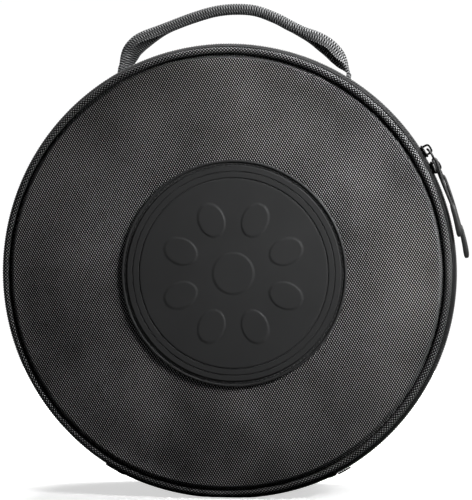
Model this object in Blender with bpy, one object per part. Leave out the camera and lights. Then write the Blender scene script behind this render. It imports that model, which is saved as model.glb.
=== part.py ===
"""A round zip-around carrying case for a 12 inch hand percussion instrument.

The case stands on its edge: the lid faces -Y, +X is to the right and +Z is up. The origin is in the middle
of the flat that it stands on. Metres throughout. Angles round the case are in degrees from +X towards +Z.
"""

import math

import bmesh
import bpy
from mathutils import Matrix, Vector

# The case
AXIS_HEIGHT = 0.1625        # of the case's centre over the flat that it stands on
BAND_RADIUS = 0.1635        # outside of the side wall, where the zip runs
SEAM_RADIUS = 0.1603        # centre of the piping
SEAM_Y = 0.050              # the two piped seams lie this far each side of y = 0
ZIP_Y = -0.035
DOME = 0.006                # the faces swell this far beyond their seams
FLAT_FACE_RADIUS = 0.084    # the part of a face that is level
FACE_RADIUS = 0.1572
SEGMENTS = 48

# The layers of the wall, from the outside: cloth, foam, lining
CLOTH = (0.0, 0.0010)
FOAM = (0.0013, 0.0053)
LINING = (0.0056, 0.0064)
GAP = 0.0003

# The foot of the case is pressed a little flatter than a circle
FLATTEN_FROM = 0.130        # below the case's centre
FLATTEN_RATE = 1.78         # per metre
PATCH_HALF_ANGLE = 28.0
PATCH_THICKNESS = 0.0020
PATCH_BACK_Y = 0.030

# Trim
PIPING_RADIUS = 0.0025
TAPE_THICKNESS = 0.0007
TAPE_WIDTH = 0.008
COIL_THICKNESS = 0.0012
COIL_WIDTH = 0.0021
ZIP_HALF_GAP = 0.0002       # between the two rows of the coil
ZIP_END_ANGLE = 29.0        # each side of the foot, where the zip stops
END_TAB_ANGLE = 3.5

# The badge
BADGE_CENTRE_X = 0.0075
BADGE_RADIUS = 0.0812
BADGE_THICKNESS = 0.0028
BADGE_GROOVE_RADIUS = 0.0783
BADGE_DISC_RADIUS = 0.0680
STITCH_RADIUS = 0.00045

# The handle
WEBBING_WIDTH = 0.025
WEBBING_THICKNESS = 0.0018
ROLL_WIDTH = 0.0095         # of the rolled middle of the handle
ROLL_THICKNESS = 0.0072
HANDLE_Y = -0.006
HANDLE_FOOT_X = 0.086
HANDLE_PIVOT_Z = 0.1535     # over the case's centre
HANDLE_END_RADIUS = 0.0113  # about the pivot, which keeps the ends off the tabs at every tilt
TAB_ANGLES = (57.5, 67.0)   # on the right; the left tab mirrors it

# The zip sliders and their pulls
SLIDER_LENGTH = 0.0095
SLIDER_WIDTH = 0.0075
SLIDER_PLATE = 0.0015
PIVOT_RADIUS = 0.1698       # of the bails' pivots from the case's centre
BAIL_LENGTH = 0.009
BAIL_WIDTH = 0.007
BAIL_WIRE = 0.0006
CORD_RADIUS = 0.0012
GRIP_SIZE = (0.024, 0.0050, 0.0040)
PULLS = {
    # slider angle, angles of the grip's top and end, radii there, the grip's y, and where the cord leaves
    # the bail: (along, y, outward) from the bail's pivot
    "left": {"slider": 31.5, "grip": (17.0, 8.7), "radius": (0.1695, 0.1700), "y": -0.0420,
             "eye": (0.0078, -0.0056, 0.0006)},
    "right": {"slider": 26.9, "grip": (11.6, 3.3), "radius": (0.1715, 0.1735), "y": -0.0345,
              "eye": (0.0112, 0.0, 0.0002)},
}

CENTRE = Vector((0.0, 0.0, AXIS_HEIGHT))


def clear_scene():
    for old in list(bpy.data.objects):
        bpy.data.objects.remove(old, do_unlink=True)


def make_collection(name, hidden=False):
    collection = bpy.data.collections.new(name)
    bpy.context.scene.collection.children.link(collection)
    collection.hide_render = hidden
    return collection


def make_material(name, colour, roughness, metallic=0.0):
    material = bpy.data.materials.new(name)
    material.use_nodes = True
    shader = material.node_tree.nodes["Principled BSDF"]
    shader.inputs["Base Color"].default_value = (*colour, 1.0)
    shader.inputs["Roughness"].default_value = roughness
    shader.inputs["Metallic"].default_value = metallic
    return material


clear_scene()
CASE = make_collection("round_carrying_case")
CUTTERS = make_collection("cutters", hidden=True)
MATERIALS = {
    "nylon": make_material("nylon", (0.045, 0.045, 0.048), 0.85),
    "foam": make_material("foam", (0.10, 0.10, 0.10), 0.95),
    "lining": make_material("lining", (0.06, 0.06, 0.065), 0.9),
    "trim": make_material("trim", (0.03, 0.03, 0.032), 0.8),
    "webbing": make_material("webbing", (0.04, 0.04, 0.042), 0.85),
    "coil": make_material("coil", (0.015, 0.015, 0.016), 0.45),
    "thread": make_material("thread", (0.05, 0.05, 0.052), 0.7),
    "badge": make_material("badge", (0.028, 0.028, 0.030), 0.55),
    "slider": make_material("slider", (0.02, 0.02, 0.022), 0.35, 0.8),
    "grip": make_material("grip", (0.07, 0.07, 0.075), 0.45),
}


def finish_object(name, mesh, material, smooth_angle=35.0):
    """Links a mesh as one named part of the case."""
    part = bpy.data.objects.new(name, mesh)
    CASE.objects.link(part)
    mesh.materials.clear()
    mesh.materials.append(MATERIALS[material])
    mesh.shade_smooth()
    mesh.set_sharp_from_angle(angle=math.radians(smooth_angle))
    return part


def on_case(angle, radius, y):
    """The point at an angle and a distance from the case's own axis."""
    turn = math.radians(angle)
    return Vector((radius * math.cos(turn), y, AXIS_HEIGHT + radius * math.sin(turn)))


def flatten_foot(z):
    """Presses what lies near the foot of the case upwards, more the lower it is."""
    below = AXIS_HEIGHT - z - FLATTEN_FROM
    return z + FLATTEN_RATE * below * below if below > 0 else z


def turned(name, profile, material, start=0.0, sweep=360.0, steps=SEGMENTS, ground=False):
    """Turns a closed profile of (radius, y) points about the case's axis, all round or part of the way."""
    bm = bmesh.new()
    verts = [bm.verts.new(on_case(start, radius, y)) for radius, y in profile]
    edges = [bm.edges.new((a, b)) for a, b in zip(verts, verts[1:] + verts[:1])]
    full = sweep >= 360.0
    bmesh.ops.spin(bm, geom=verts + edges, cent=CENTRE, axis=(0, -1, 0),
                   angle=math.radians(sweep), steps=steps, use_merge=full)
    bmesh.ops.remove_doubles(bm, verts=bm.verts, dist=1e-6)
    if not full:
        bmesh.ops.holes_fill(bm, edges=[edge for edge in bm.edges if edge.is_boundary], sides=0)
    flat = [face for face in bm.faces if face.calc_area() < 1e-12]
    bmesh.ops.delete(bm, geom=flat, context="FACES_ONLY")
    bmesh.ops.recalc_face_normals(bm, faces=bm.faces)
    for vert in bm.verts:
        vert.co.z = flatten_foot(vert.co.z)
        if ground:
            vert.co.z = max(vert.co.z, 0.0)
    mesh = bpy.data.meshes.new(name)
    bm.to_mesh(mesh)
    bm.free()
    return finish_object(name, mesh, material)


def face_y(radius):
    """How far a face lies from y = 0 at a distance from its centre."""
    out = max(0.0, radius - FLAT_FACE_RADIUS) / (FACE_RADIUS - FLAT_FACE_RADIUS)
    return SEAM_Y + DOME - (DOME - 0.0006) * out * out


def face_layer(name, side, layer, edge_radius, material):
    """A domed disc: one layer of the front (side -1) or of the back (side +1)."""
    middle = (FLAT_FACE_RADIUS + edge_radius) / 2
    radii = (0.0, FLAT_FACE_RADIUS, middle, edge_radius)
    outer = [(radius, side * (face_y(radius) - layer[0])) for radius in radii]
    inner = [(radius, side * (face_y(radius) - layer[1])) for radius in reversed(radii)]
    return turned(name, outer + inner, material)


def wall_layer(name, outline, layer, material):
    """A band of the side wall, from its outer outline of (radius, y) points."""
    outer = [(radius - layer[0], y) for radius, y in outline]
    inner = [(radius - layer[1], y) for radius, y in reversed(outline)]
    return turned(name, outer + inner, material)


def make_shells():
    """The lid and the body, each of a face and a side wall in three layers."""
    layers = (("cloth", CLOTH, FACE_RADIUS, "nylon"), ("foam", FOAM, 0.153, "foam"),
              ("lining", LINING, 0.153, "lining"))
    for word, layer, edge, material in layers:
        face_layer(f"lid_face_{word}", -1, layer, edge, material)
        face_layer(f"back_face_{word}", 1, layer, edge, material)
    lid_end, body_end = ZIP_Y - ZIP_HALF_GAP, ZIP_Y + ZIP_HALF_GAP
    for word, layer, _, material in layers:
        rim = 0.0472 if word == "cloth" else 0.0446
        drop = 0.0028 * (rim - 0.040) / 0.0076
        lid = [(BAND_RADIUS, lid_end), (BAND_RADIUS - 0.0003, -0.040), (BAND_RADIUS - 0.0003 - drop, -rim)]
        body = [(BAND_RADIUS, body_end), (BAND_RADIUS, 0.030), (BAND_RADIUS - 0.0010, 0.040),
                (BAND_RADIUS - 0.0010 - drop, rim)]
        wall_layer(f"lid_side_{word}", lid, layer, material)
        wall_layer(f"body_side_{word}", body, layer, material)


def make_seams():
    """The piping round each face, and the tape that binds the raw edges inside."""
    ring = [(SEAM_RADIUS + PIPING_RADIUS * math.cos(math.radians(turn)),
             PIPING_RADIUS * math.sin(math.radians(turn))) for turn in range(0, 360, 60)]
    for name, side in (("lid", -1), ("back", 1)):
        turned(f"{name}_piping", [(radius, side * SEAM_Y + y) for radius, y in ring], "trim")
        low, high = 0.0454, 0.0492
        tape = [(0.1534, side * low), (0.1551, side * low), (0.1551, side * high), (0.1534, side * high)]
        turned(f"{name}_seam_binding", tape, "trim")


def make_zip():
    """Two tapes and two rows of coil round the case, stopped at the foot by end tabs."""
    start = -90.0 + ZIP_END_ANGLE
    sweep = 360.0 - 2 * ZIP_END_ANGLE
    tape_low = BAND_RADIUS + GAP
    tape_high = tape_low + TAPE_THICKNESS
    coil_low = tape_high + GAP
    coil_high = coil_low + COIL_THICKNESS
    for name, side in (("lid", -1), ("body", 1)):
        near = ZIP_Y + side * ZIP_HALF_GAP
        far = ZIP_Y + side * TAPE_WIDTH
        drop = 0.0014 if side < 0 else 0.0
        tape = [(tape_high, near), (tape_high, ZIP_Y + side * 0.005), (tape_high - drop, far),
                (tape_low - drop, far), (tape_low, ZIP_Y + side * 0.005), (tape_low, near)]
        turned(f"{name}_zip_tape", tape, "trim", start, sweep, SEGMENTS - 8)
        edge = ZIP_Y + side * COIL_WIDTH
        coil = [(coil_high, near), (coil_high, edge), (coil_low, edge), (coil_low, near)]
        turned(f"{name}_zip_coil", coil, "coil", start, sweep, SEGMENTS - 8)
    top = coil_high + 0.0004
    end_tab = [(top, ZIP_Y + ZIP_HALF_GAP), (top, ZIP_Y + 0.0045), (top + 0.0009, ZIP_Y + 0.0045),
               (top + 0.0009, ZIP_Y + ZIP_HALF_GAP)]
    turned("zip_end_tab_right", end_tab, "trim", start, END_TAB_ANGLE, 3)
    turned("zip_end_tab_left", end_tab, "trim", start + sweep - END_TAB_ANGLE, END_TAB_ANGLE, 3)


def make_base_patch():
    """The wear patch over the fabric hinge, in two parts that meet along the fold."""
    low, high = BAND_RADIUS + GAP, BAND_RADIUS + GAP + PATCH_THICKNESS
    start, sweep = -90.0 - PATCH_HALF_ANGLE, 2 * PATCH_HALF_ANGLE
    lid_near, body_near = ZIP_Y - ZIP_HALF_GAP, ZIP_Y + ZIP_HALF_GAP
    front = [(high, lid_near), (high, -0.040), (high - 0.0014, -0.0444), (low - 0.0014, -0.0444),
             (low - 0.0001, -0.040), (low, lid_near)]
    turned("base_patch_front", front, "webbing", start, sweep, 28, ground=True)
    rear = [(high, body_near), (high, PATCH_BACK_Y), (low, PATCH_BACK_Y), (low, body_near)]
    turned("base_patch_rear", rear, "webbing", start, sweep, 28, ground=True)


def disc(name, centre_x, profile, material, steps=SEGMENTS):
    """Turns a profile of (radius, y) points about the badge's own axis."""
    bm = bmesh.new()
    verts = [bm.verts.new((centre_x + radius, y, AXIS_HEIGHT)) for radius, y in profile]
    edges = [bm.edges.new((a, b)) for a, b in zip(verts, verts[1:] + verts[:1])]
    bmesh.ops.spin(bm, geom=verts + edges, cent=(centre_x, 0, AXIS_HEIGHT), axis=(0, -1, 0),
                   angle=math.tau, steps=steps, use_merge=True)
    bmesh.ops.remove_doubles(bm, verts=bm.verts, dist=1e-6)
    empty = [face for face in bm.faces if face.calc_area() < 1e-12]
    bmesh.ops.delete(bm, geom=empty, context="FACES_ONLY")
    bmesh.ops.recalc_face_normals(bm, faces=bm.faces)
    mesh = bpy.data.meshes.new(name)
    bm.to_mesh(mesh)
    bm.free()
    return finish_object(name, mesh, material)


def make_badge():
    """A moulded rubber disc with a sewing groove, and the ring of thread in that groove."""
    back = -(SEAM_Y + DOME + GAP)
    front = back - BADGE_THICKNESS
    groove = 0.0012
    profile = [
        (0.0, front), (BADGE_DISC_RADIUS, front), (BADGE_DISC_RADIUS + 0.0012, front + 0.0008),
        (BADGE_GROOVE_RADIUS - 0.0010, front + 0.0008), (BADGE_GROOVE_RADIUS - 0.0010, front + 0.0008 + groove),
        (BADGE_GROOVE_RADIUS + 0.0010, front + 0.0008 + groove), (BADGE_GROOVE_RADIUS + 0.0010, front + 0.0008),
        (BADGE_RADIUS, front + 0.0010), (BADGE_RADIUS, back), (0.0, back),
    ]
    disc("badge", BADGE_CENTRE_X, profile, "badge")
    seat = front + 0.0008 + groove - GAP
    thread = [(BADGE_GROOVE_RADIUS + side * STITCH_RADIUS, seat - depth * STITCH_RADIUS)
              for side, depth in ((-1, 0), (-1, 2), (1, 2), (1, 0))]
    disc("badge_stitching", BADGE_CENTRE_X, thread, "thread")


def loft(name, frames, material, sides=8):
    """A closed body through oval sections: each frame is a place, a side way, an up way and the half sizes."""
    bm = bmesh.new()
    rings = []
    for place, across, up, half_width, half_height in frames:
        ring = []
        for step in range(sides):
            turn = math.tau * (step + 0.5) / sides
            ring.append(bm.verts.new(place + across * half_width * math.cos(turn)
                                     + up * half_height * math.sin(turn)))
        rings.append(ring)
    for low, high in zip(rings, rings[1:]):
        for step in range(sides):
            after = (step + 1) % sides
            bm.faces.new((low[step], low[after], high[after], high[step]))
    bm.faces.new(rings[0])
    bm.faces.new(rings[-1])
    bmesh.ops.recalc_face_normals(bm, faces=bm.faces)
    mesh = bpy.data.meshes.new(name)
    bm.to_mesh(mesh)
    bm.free()
    return finish_object(name, mesh, material, 60.0)


def handle_route():
    """Half of the handle's centre line, from its foot up to the middle, as (x, height over the case's centre)."""
    return [(0.0862, 0.1430), (0.0863, 0.1450), (0.0859, 0.1485), (0.0852, 0.1535), (0.0826, 0.1620),
            (0.0768, 0.1690), (0.0690, 0.1728), (0.0600, 0.1762), (0.0480, 0.1810), (0.0330, 0.1866),
            (0.0170, 0.1912), (0.0, 0.1930)]


def make_handle():
    """The webbing loop, rolled to a grip in its middle, and the two ends sewn down on the case."""
    right = handle_route()
    route = [(-x, z) for x, z in right] + [(x, z) for x, z in reversed(right[:-1])]
    frames = []
    for index, (x, z) in enumerate(route):
        before, after = route[max(index - 1, 0)], route[min(index + 1, len(route) - 1)]
        along = Vector((after[0] - before[0], 0, after[1] - before[1])).normalized()
        up = along.cross(Vector((0, 1, 0)))
        below = HANDLE_PIVOT_Z - z
        half_width, half_height = WEBBING_WIDTH / 2, WEBBING_THICKNESS / 2
        if below >= 0:
            half_width = math.sqrt(HANDLE_END_RADIUS ** 2 - below ** 2)
        rolled = min(max((0.076 - abs(x)) / 0.020, 0.0), 1.0)
        half_width += (ROLL_WIDTH / 2 - half_width) * rolled
        half_height += (ROLL_THICKNESS / 2 - half_height) * rolled
        frames.append((Vector((x, HANDLE_Y, AXIS_HEIGHT + z)), Vector((0, 1, 0)), up, half_width, half_height))
    loft("handle_loop", frames, "webbing")
    low = BAND_RADIUS + GAP
    half = WEBBING_WIDTH / 2
    tab = [(low + WEBBING_THICKNESS, HANDLE_Y - half), (low + WEBBING_THICKNESS, HANDLE_Y + half),
           (low, HANDLE_Y + half), (low, HANDLE_Y - half)]
    sweep = TAB_ANGLES[1] - TAB_ANGLES[0]
    turned("handle_tab_right", tab, "webbing", TAB_ANGLES[0], sweep, 6)
    turned("handle_tab_left", tab, "webbing", 180.0 - TAB_ANGLES[1], sweep, 6)
    seat = low + WEBBING_THICKNESS + GAP
    for word, start in (("right", TAB_ANGLES[0]), ("left", 180.0 - TAB_ANGLES[1])):
        for name, y in (("front", HANDLE_Y - 0.0095), ("rear", HANDLE_Y + 0.0095)):
            row = [(seat, y - 0.0005), (seat + 0.0006, y - 0.0005), (seat + 0.0006, y + 0.0005), (seat, y + 0.0005)]
            turned(f"handle_stitch_{word}_{name}", row, "thread", start + 2.2, sweep - 3.6, 4)


def block(name, size, place, turn, material):
    """A box of (along, y, outward) size, turned to lie on the case at an angle."""
    bm = bmesh.new()
    bmesh.ops.create_cube(bm, size=1.0)
    bmesh.ops.scale(bm, vec=size, verts=bm.verts)
    bmesh.ops.transform(bm, matrix=turn, verts=bm.verts)
    bmesh.ops.translate(bm, vec=place, verts=bm.verts)
    mesh = bpy.data.meshes.new(name)
    bm.to_mesh(mesh)
    bm.free()
    return finish_object(name, mesh, material)


def join(base, others):
    """Joins blocks into one body with Boolean unions."""
    for other in others:
        CASE.objects.unlink(other)
        CUTTERS.objects.link(other)
        other.hide_render = True
        other.display_type = "WIRE"
        union = base.modifiers.new(f"join_{other.name}", "BOOLEAN")
        union.operation = "UNION"
        union.solver = "EXACT"
        union.object = other
    return base


def case_turn(angle):
    """Turns +X to run clockwise along the case, the way the pulls hang, and +Z to point away from its axis."""
    return Matrix.Rotation(math.radians(90.0 - angle), 3, "Y")


def make_slider(word, angle):
    """A slider: a plate over the coil, a lip behind it on the body's side, and a bridge for the bail."""
    turn = case_turn(angle)
    coil_top = BAND_RADIUS + 2 * GAP + TAPE_THICKNESS + COIL_THICKNESS
    plate_low = coil_top + 0.0004
    lip_low = BAND_RADIUS + GAP + TAPE_THICKNESS + 0.0004
    bridge_top = PIVOT_RADIUS + 0.0024

    def piece(part, size, along, y, radius):
        place = on_case(angle, radius, ZIP_Y + y) + turn @ Vector((along, 0, 0))
        return block(f"slider_{word}{part}", size, place, turn, "slider")

    plate = piece("", (SLIDER_LENGTH, SLIDER_WIDTH, SLIDER_PLATE), 0, 0, plate_low + SLIDER_PLATE / 2)
    lip_size = plate_low - lip_low + 0.0005
    lip = piece("_lip", (SLIDER_LENGTH - 0.001, 0.0009, lip_size), 0, SLIDER_WIDTH / 2 - 0.0006,
                lip_low + lip_size / 2)
    post_low = plate_low + SLIDER_PLATE - 0.0003
    post_high = bridge_top - 0.0002
    post_size = (0.0014, 0.0026, post_high - post_low)
    posts = [piece(f"_post_{side}", post_size, side * 0.0026, 0, (post_low + post_high) / 2) for side in (-1, 1)]
    bar = piece("_bridge", (0.0074, 0.0027, 0.0010), 0, 0, bridge_top - 0.0003)
    return join(plate, [lip, *posts, bar])


def tube(name, points, radius, material, closed=False, resolution=1):
    """A round wire or cord through points."""
    curve = bpy.data.curves.new(name, "CURVE")
    curve.dimensions = "3D"
    curve.bevel_depth = radius
    curve.bevel_resolution = resolution
    curve.use_fill_caps = True
    spline = curve.splines.new("POLY")
    spline.points.add(len(points) - 1)
    for point, place in zip(spline.points, points):
        point.co = (*place, 1.0)
    spline.use_cyclic_u = closed
    wire = bpy.data.objects.new(name, curve)
    CASE.objects.link(wire)
    curve.materials.append(MATERIALS[material])
    return wire


def make_pull(word, pull):
    """The wire bail on a slider, and the cord and moulded grip that hang from it."""
    angle = pull["slider"]
    turn = case_turn(angle)
    pivot = on_case(angle, PIVOT_RADIUS, ZIP_Y)
    half = BAIL_WIDTH / 2 - BAIL_WIRE
    outline = [(0, half), (0, 0), (0, -half), (0.0015, -half - 0.0003), (BAIL_LENGTH - 0.002, -half),
               (BAIL_LENGTH, -half * 0.55), (BAIL_LENGTH, half * 0.55), (BAIL_LENGTH - 0.002, half),
               (0.0015, half + 0.0003)]
    tube(f"bail_{word}", [pivot + turn @ Vector((along, y, 0)) for along, y in outline], BAIL_WIRE, "slider", True)
    top = on_case(pull["grip"][0], pull["radius"][0], pull["y"])
    end = on_case(pull["grip"][1], pull["radius"][1], pull["y"])
    along = (end - top).normalized()
    first = pivot + turn @ Vector(pull["eye"])
    bend = first.lerp(top, 0.5) + (on_case(angle, 1.0, 0) - CENTRE).normalized() * 0.0007
    bend.y = (first.y + 2 * top.y) / 3
    tube(f"pull_cord_{word}", [first, first.lerp(bend, 0.55), bend, bend.lerp(top, 0.5), top - along * 0.0004],
         CORD_RADIUS, "webbing")
    length, width, depth = GRIP_SIZE
    out = along.cross(Vector((0, 1, 0)))
    stations = ((0.0, 0.62), (0.08, 0.85), (0.45, 1.0), (0.85, 1.0), (1.0, 0.6))
    frames = [(top + along * length * at, Vector((0, 1, 0)), out, width / 2 * size, depth / 2 * size)
              for at, size in stations]
    loft(f"pull_grip_{word}", frames, "grip")


make_shells()
make_seams()
make_zip()
make_base_patch()
make_badge()
make_handle()
for side_word, side_pull in PULLS.items():
    make_slider(side_word, side_pull["slider"])
    make_pull(side_word, side_pull)
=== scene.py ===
"""The looks of the round zip-around carrying case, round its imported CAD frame. Metres, +Z up, lid at -Y."""

import math

import bmesh
import bpy
import numpy as np
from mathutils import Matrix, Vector, noise


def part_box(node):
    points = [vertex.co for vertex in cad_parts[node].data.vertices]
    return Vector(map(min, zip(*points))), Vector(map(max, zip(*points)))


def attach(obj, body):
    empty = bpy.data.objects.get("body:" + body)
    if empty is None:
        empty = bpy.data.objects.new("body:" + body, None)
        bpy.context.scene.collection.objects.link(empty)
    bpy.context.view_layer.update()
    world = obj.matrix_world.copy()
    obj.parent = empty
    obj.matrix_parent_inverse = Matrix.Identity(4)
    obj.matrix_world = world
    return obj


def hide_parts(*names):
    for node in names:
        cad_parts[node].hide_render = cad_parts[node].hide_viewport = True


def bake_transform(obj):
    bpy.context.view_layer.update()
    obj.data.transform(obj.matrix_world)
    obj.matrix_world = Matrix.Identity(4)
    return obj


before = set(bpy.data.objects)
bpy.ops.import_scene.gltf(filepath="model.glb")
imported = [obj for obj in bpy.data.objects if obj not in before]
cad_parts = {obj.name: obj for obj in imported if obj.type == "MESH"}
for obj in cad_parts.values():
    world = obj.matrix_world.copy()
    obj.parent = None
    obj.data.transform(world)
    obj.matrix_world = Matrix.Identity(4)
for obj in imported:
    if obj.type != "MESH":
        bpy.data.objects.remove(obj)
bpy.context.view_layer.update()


def middle(node):
    """The middle of a CAD node's box."""
    low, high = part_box(node)
    return (low + high) / 2


# Places and sizes that come from the frame
BAND_LOW, BAND_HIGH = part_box("body_side_cloth")
BAND_RADIUS = (BAND_HIGH.x - BAND_LOW.x) / 2
AXIS_HEIGHT = middle("badge").z
SEAM_Y = middle("back_piping").y
SEAM_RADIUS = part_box("lid_piping")[1].x - 0.0025
ZIP_Y = (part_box("lid_side_cloth")[1].y + BAND_LOW.y) / 2
FACE_FRONT = -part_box("lid_face_cloth")[0].y
BADGE_X = middle("badge").x
BADGE_RADIUS = (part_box("badge")[1].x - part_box("badge")[0].x) / 2
BADGE_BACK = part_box("badge")[1].y
BADGE_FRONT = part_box("badge")[0].y
HANDLE_Y = middle("handle_loop").y
PATCH_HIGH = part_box("base_patch_rear")[1]
TAPE_OUT = (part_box("body_zip_tape")[1].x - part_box("body_zip_tape")[0].x) / 2
COIL_OUT = (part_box("body_zip_coil")[1].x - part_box("body_zip_coil")[0].x) / 2

FACE_EDGE = SEAM_RADIUS - 0.0035  # where the cloth face rolls down into the piped seam

PATCH_HALF_ANGLE = 28.7  # 0.7 degrees wider than the CAD patch

# The same values as in the part's source. The foot is pressed flatter than a circle from FLATTEN_FROM down
FLATTEN_FROM = 0.130
FLATTEN_RATE = 1.78
ZIP_END_ANGLE = 29.0
SLIDER_ANGLES = {"left": 31.5, "right": 26.9}
PIVOT_RADIUS = 0.1698
BAIL_LENGTH = 0.009


# ---------------------------------------------------------------- materials

class Nodes:
    """A short way to write a node tree."""

    def __init__(self, name):
        self.material = bpy.data.materials.new(name)
        self.material.use_nodes = True
        self.tree = self.material.node_tree
        self.shader = self.tree.nodes["Principled BSDF"]

    def add(self, kind, **settings):
        node = self.tree.nodes.new(kind)
        for key, value in settings.items():
            setattr(node, key, value)
        return node

    def link(self, source, target):
        self.tree.links.new(source, target)

    def math(self, operation, first, second=None, third=None):
        node = self.add("ShaderNodeMath", operation=operation)
        for socket, value in zip(node.inputs, (first, second, third)):
            if value is None:
                continue
            if isinstance(value, (int, float)):
                socket.default_value = value
            else:
                self.link(value, socket)
        return node.outputs[0]

    def uv(self):
        return self.add("ShaderNodeUVMap", uv_map="metric").outputs[0]

    def place(self):
        return self.add("ShaderNodeTexCoord").outputs["Object"]

    def noise(self, vector, scale, detail=2.0, roughness=0.5):
        node = self.add("ShaderNodeTexNoise")
        node.inputs["Scale"].default_value = scale
        node.inputs["Detail"].default_value = detail
        node.inputs["Roughness"].default_value = roughness
        self.link(vector, node.inputs["Vector"])
        return node.outputs["Fac"]

    def wave(self, vector, direction):
        """A cosine from 0 to 1 with so many cycles a metre along each of the first two axes."""
        dot = self.add("ShaderNodeVectorMath", operation="DOT_PRODUCT")
        self.link(vector, dot.inputs[0])
        dot.inputs[1].default_value = (direction[0] * math.tau, direction[1] * math.tau, 0.0)
        cosine = self.math("COSINE", dot.outputs["Value"])
        return self.math("MULTIPLY_ADD", cosine, 0.5, 0.5)

    def shifted(self, vector, amount, scale):
        """The place moved about a little by noise, so that rows aren't ruler-straight."""
        node = self.add("ShaderNodeTexNoise")
        node.inputs["Scale"].default_value = scale
        self.link(vector, node.inputs["Vector"])
        scaled = self.add("ShaderNodeVectorMath", operation="MULTIPLY_ADD")
        self.link(node.outputs["Color"], scaled.inputs[0])
        scaled.inputs[1].default_value = (amount, amount, amount)
        self.link(vector, scaled.inputs[2])
        return scaled.outputs["Vector"]

    def ramp(self, factor, stops):
        node = self.add("ShaderNodeValToRGB")
        elements = node.color_ramp.elements
        while len(elements) < len(stops):
            elements.new(0.5)
        for element, (position, colour) in zip(elements, stops):
            element.position = position
            element.color = (*colour, 1.0)
        self.link(factor, node.inputs["Fac"])
        return node.outputs["Color"]

    def bump(self, height, distance, strength=1.0):
        node = self.add("ShaderNodeBump")
        node.inputs["Distance"].default_value = distance
        node.inputs["Strength"].default_value = strength
        self.link(height, node.inputs["Height"])
        self.link(node.outputs["Normal"], self.shader.inputs["Normal"])

    def between(self, factor, low, high):
        return self.math("MULTIPLY_ADD", factor, high - low, low)


def grey(value):
    return (value, value * 1.012, value * 1.03)


def cloth_material(name, dark, light, waves=((603.0, -316.0), (487.0, 395.0)), bump=0.00012):
    """Coarse basket-woven nylon: a slanting lattice of thread crossings, their shine painted into the colour
    as bright crossings, over gaps painted dark as shade.
    """
    n = Nodes(name)
    place = n.shifted(n.uv(), 0.0006, 45.0)
    first = n.wave(place, waves[0])
    second = n.wave(place, waves[1])
    crossing = n.math("MULTIPLY", first, second)
    broad = n.noise(n.uv(), 11.0, 3.0)
    fine = n.noise(n.uv(), 900.0, 1.0)
    lit = n.math("MULTIPLY", crossing, n.between(broad, 0.35, 1.65))
    lit = n.math("MULTIPLY", lit, n.between(fine, 0.75, 1.25))
    # The ramp paints highlights on the thread crossings and shade in the gaps between them; broad noise makes
    # the painted highlight stronger or weaker in patches.
    n.link(n.ramp(lit, ((0.20, grey(dark)), (0.48, grey(light * 0.26)), (0.92, grey(light)))),
           n.shader.inputs["Base Color"])
    n.link(n.between(crossing, 0.95, 0.55), n.shader.inputs["Roughness"])
    n.shader.inputs["Specular IOR Level"].default_value = 0.15
    n.bump(lit, bump)
    return n.material


def webbing_material(name, dark, light, rib=1 / 0.0014, columns=1 / 0.0031):
    """Flat woven webbing: ribs across its length, in columns of twill, with highlights painted on the rib
    tops and shade painted between the ribs.
    """
    n = Nodes(name)
    place = n.shifted(n.uv(), 0.0004, 60.0)
    ribs = n.wave(place, (rib, 0.0))
    twill = n.wave(place, (rib, columns))
    height = n.math("MULTIPLY_ADD", twill, 0.5, n.math("MULTIPLY", ribs, 0.5))
    fine = n.noise(n.uv(), 1500.0, 2.0)
    lit = n.math("MULTIPLY", height, n.between(fine, 0.55, 1.45))
    # The ramp colours by rib height: painted highlight on the rib tops, painted shade in the hollows between
    # them.
    n.link(n.ramp(lit, ((0.22, grey(dark)), (0.60, grey(light * 0.32)), (1.0, grey(light)))),
           n.shader.inputs["Base Color"])
    n.link(n.between(height, 0.9, 0.6), n.shader.inputs["Roughness"])
    n.shader.inputs["Specular IOR Level"].default_value = 0.15
    n.bump(height, 0.00022)
    return n.material


def knit_material(name, dark, light):
    """Brushed knitted lining: a soft short pile over faint rows."""
    n = Nodes(name)
    pile = n.noise(n.place(), 1400.0, 3.0, 0.7)
    patches = n.noise(n.place(), 22.0, 2.0)
    rows = n.wave(n.uv(), (760.0, 0.0))
    lit = n.math("MULTIPLY_ADD", pile, 0.6, n.math("MULTIPLY", rows, 0.15))
    lit = n.math("MULTIPLY", lit, n.between(patches, 0.75, 1.25))
    n.link(n.ramp(lit, ((0.15, grey(dark)), (0.85, grey(light)))), n.shader.inputs["Base Color"])
    n.link(n.between(pile, 0.98, 0.85), n.shader.inputs["Roughness"])
    n.shader.inputs["Sheen Weight"].default_value = 0.4
    n.shader.inputs["Sheen Roughness"].default_value = 0.5
    n.bump(lit, 0.00015)
    return n.material


def moulded_material(name, base, spread, roughness, grain=2600.0, depth=0.00002, metallic=0.0, coat=0.0):
    """Moulded rubber or plastic, or blackened metal: fine grain, cloudy sheen and a little rubbed-on dust."""
    n = Nodes(name)
    clouds = n.noise(n.place(), 28.0, 4.0, 0.6)
    fine = n.noise(n.place(), grain, 2.0)
    mixed = n.math("MULTIPLY_ADD", fine, 0.35, n.math("MULTIPLY", clouds, 0.65))
    n.link(n.ramp(mixed, ((0.25, grey(base - spread)), (0.75, grey(base + spread)))),
           n.shader.inputs["Base Color"])
    n.link(n.between(mixed, roughness - 0.10, roughness + 0.10), n.shader.inputs["Roughness"])
    n.shader.inputs["Metallic"].default_value = metallic
    n.shader.inputs["Coat Weight"].default_value = coat
    n.bump(fine, depth)
    return n.material


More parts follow.
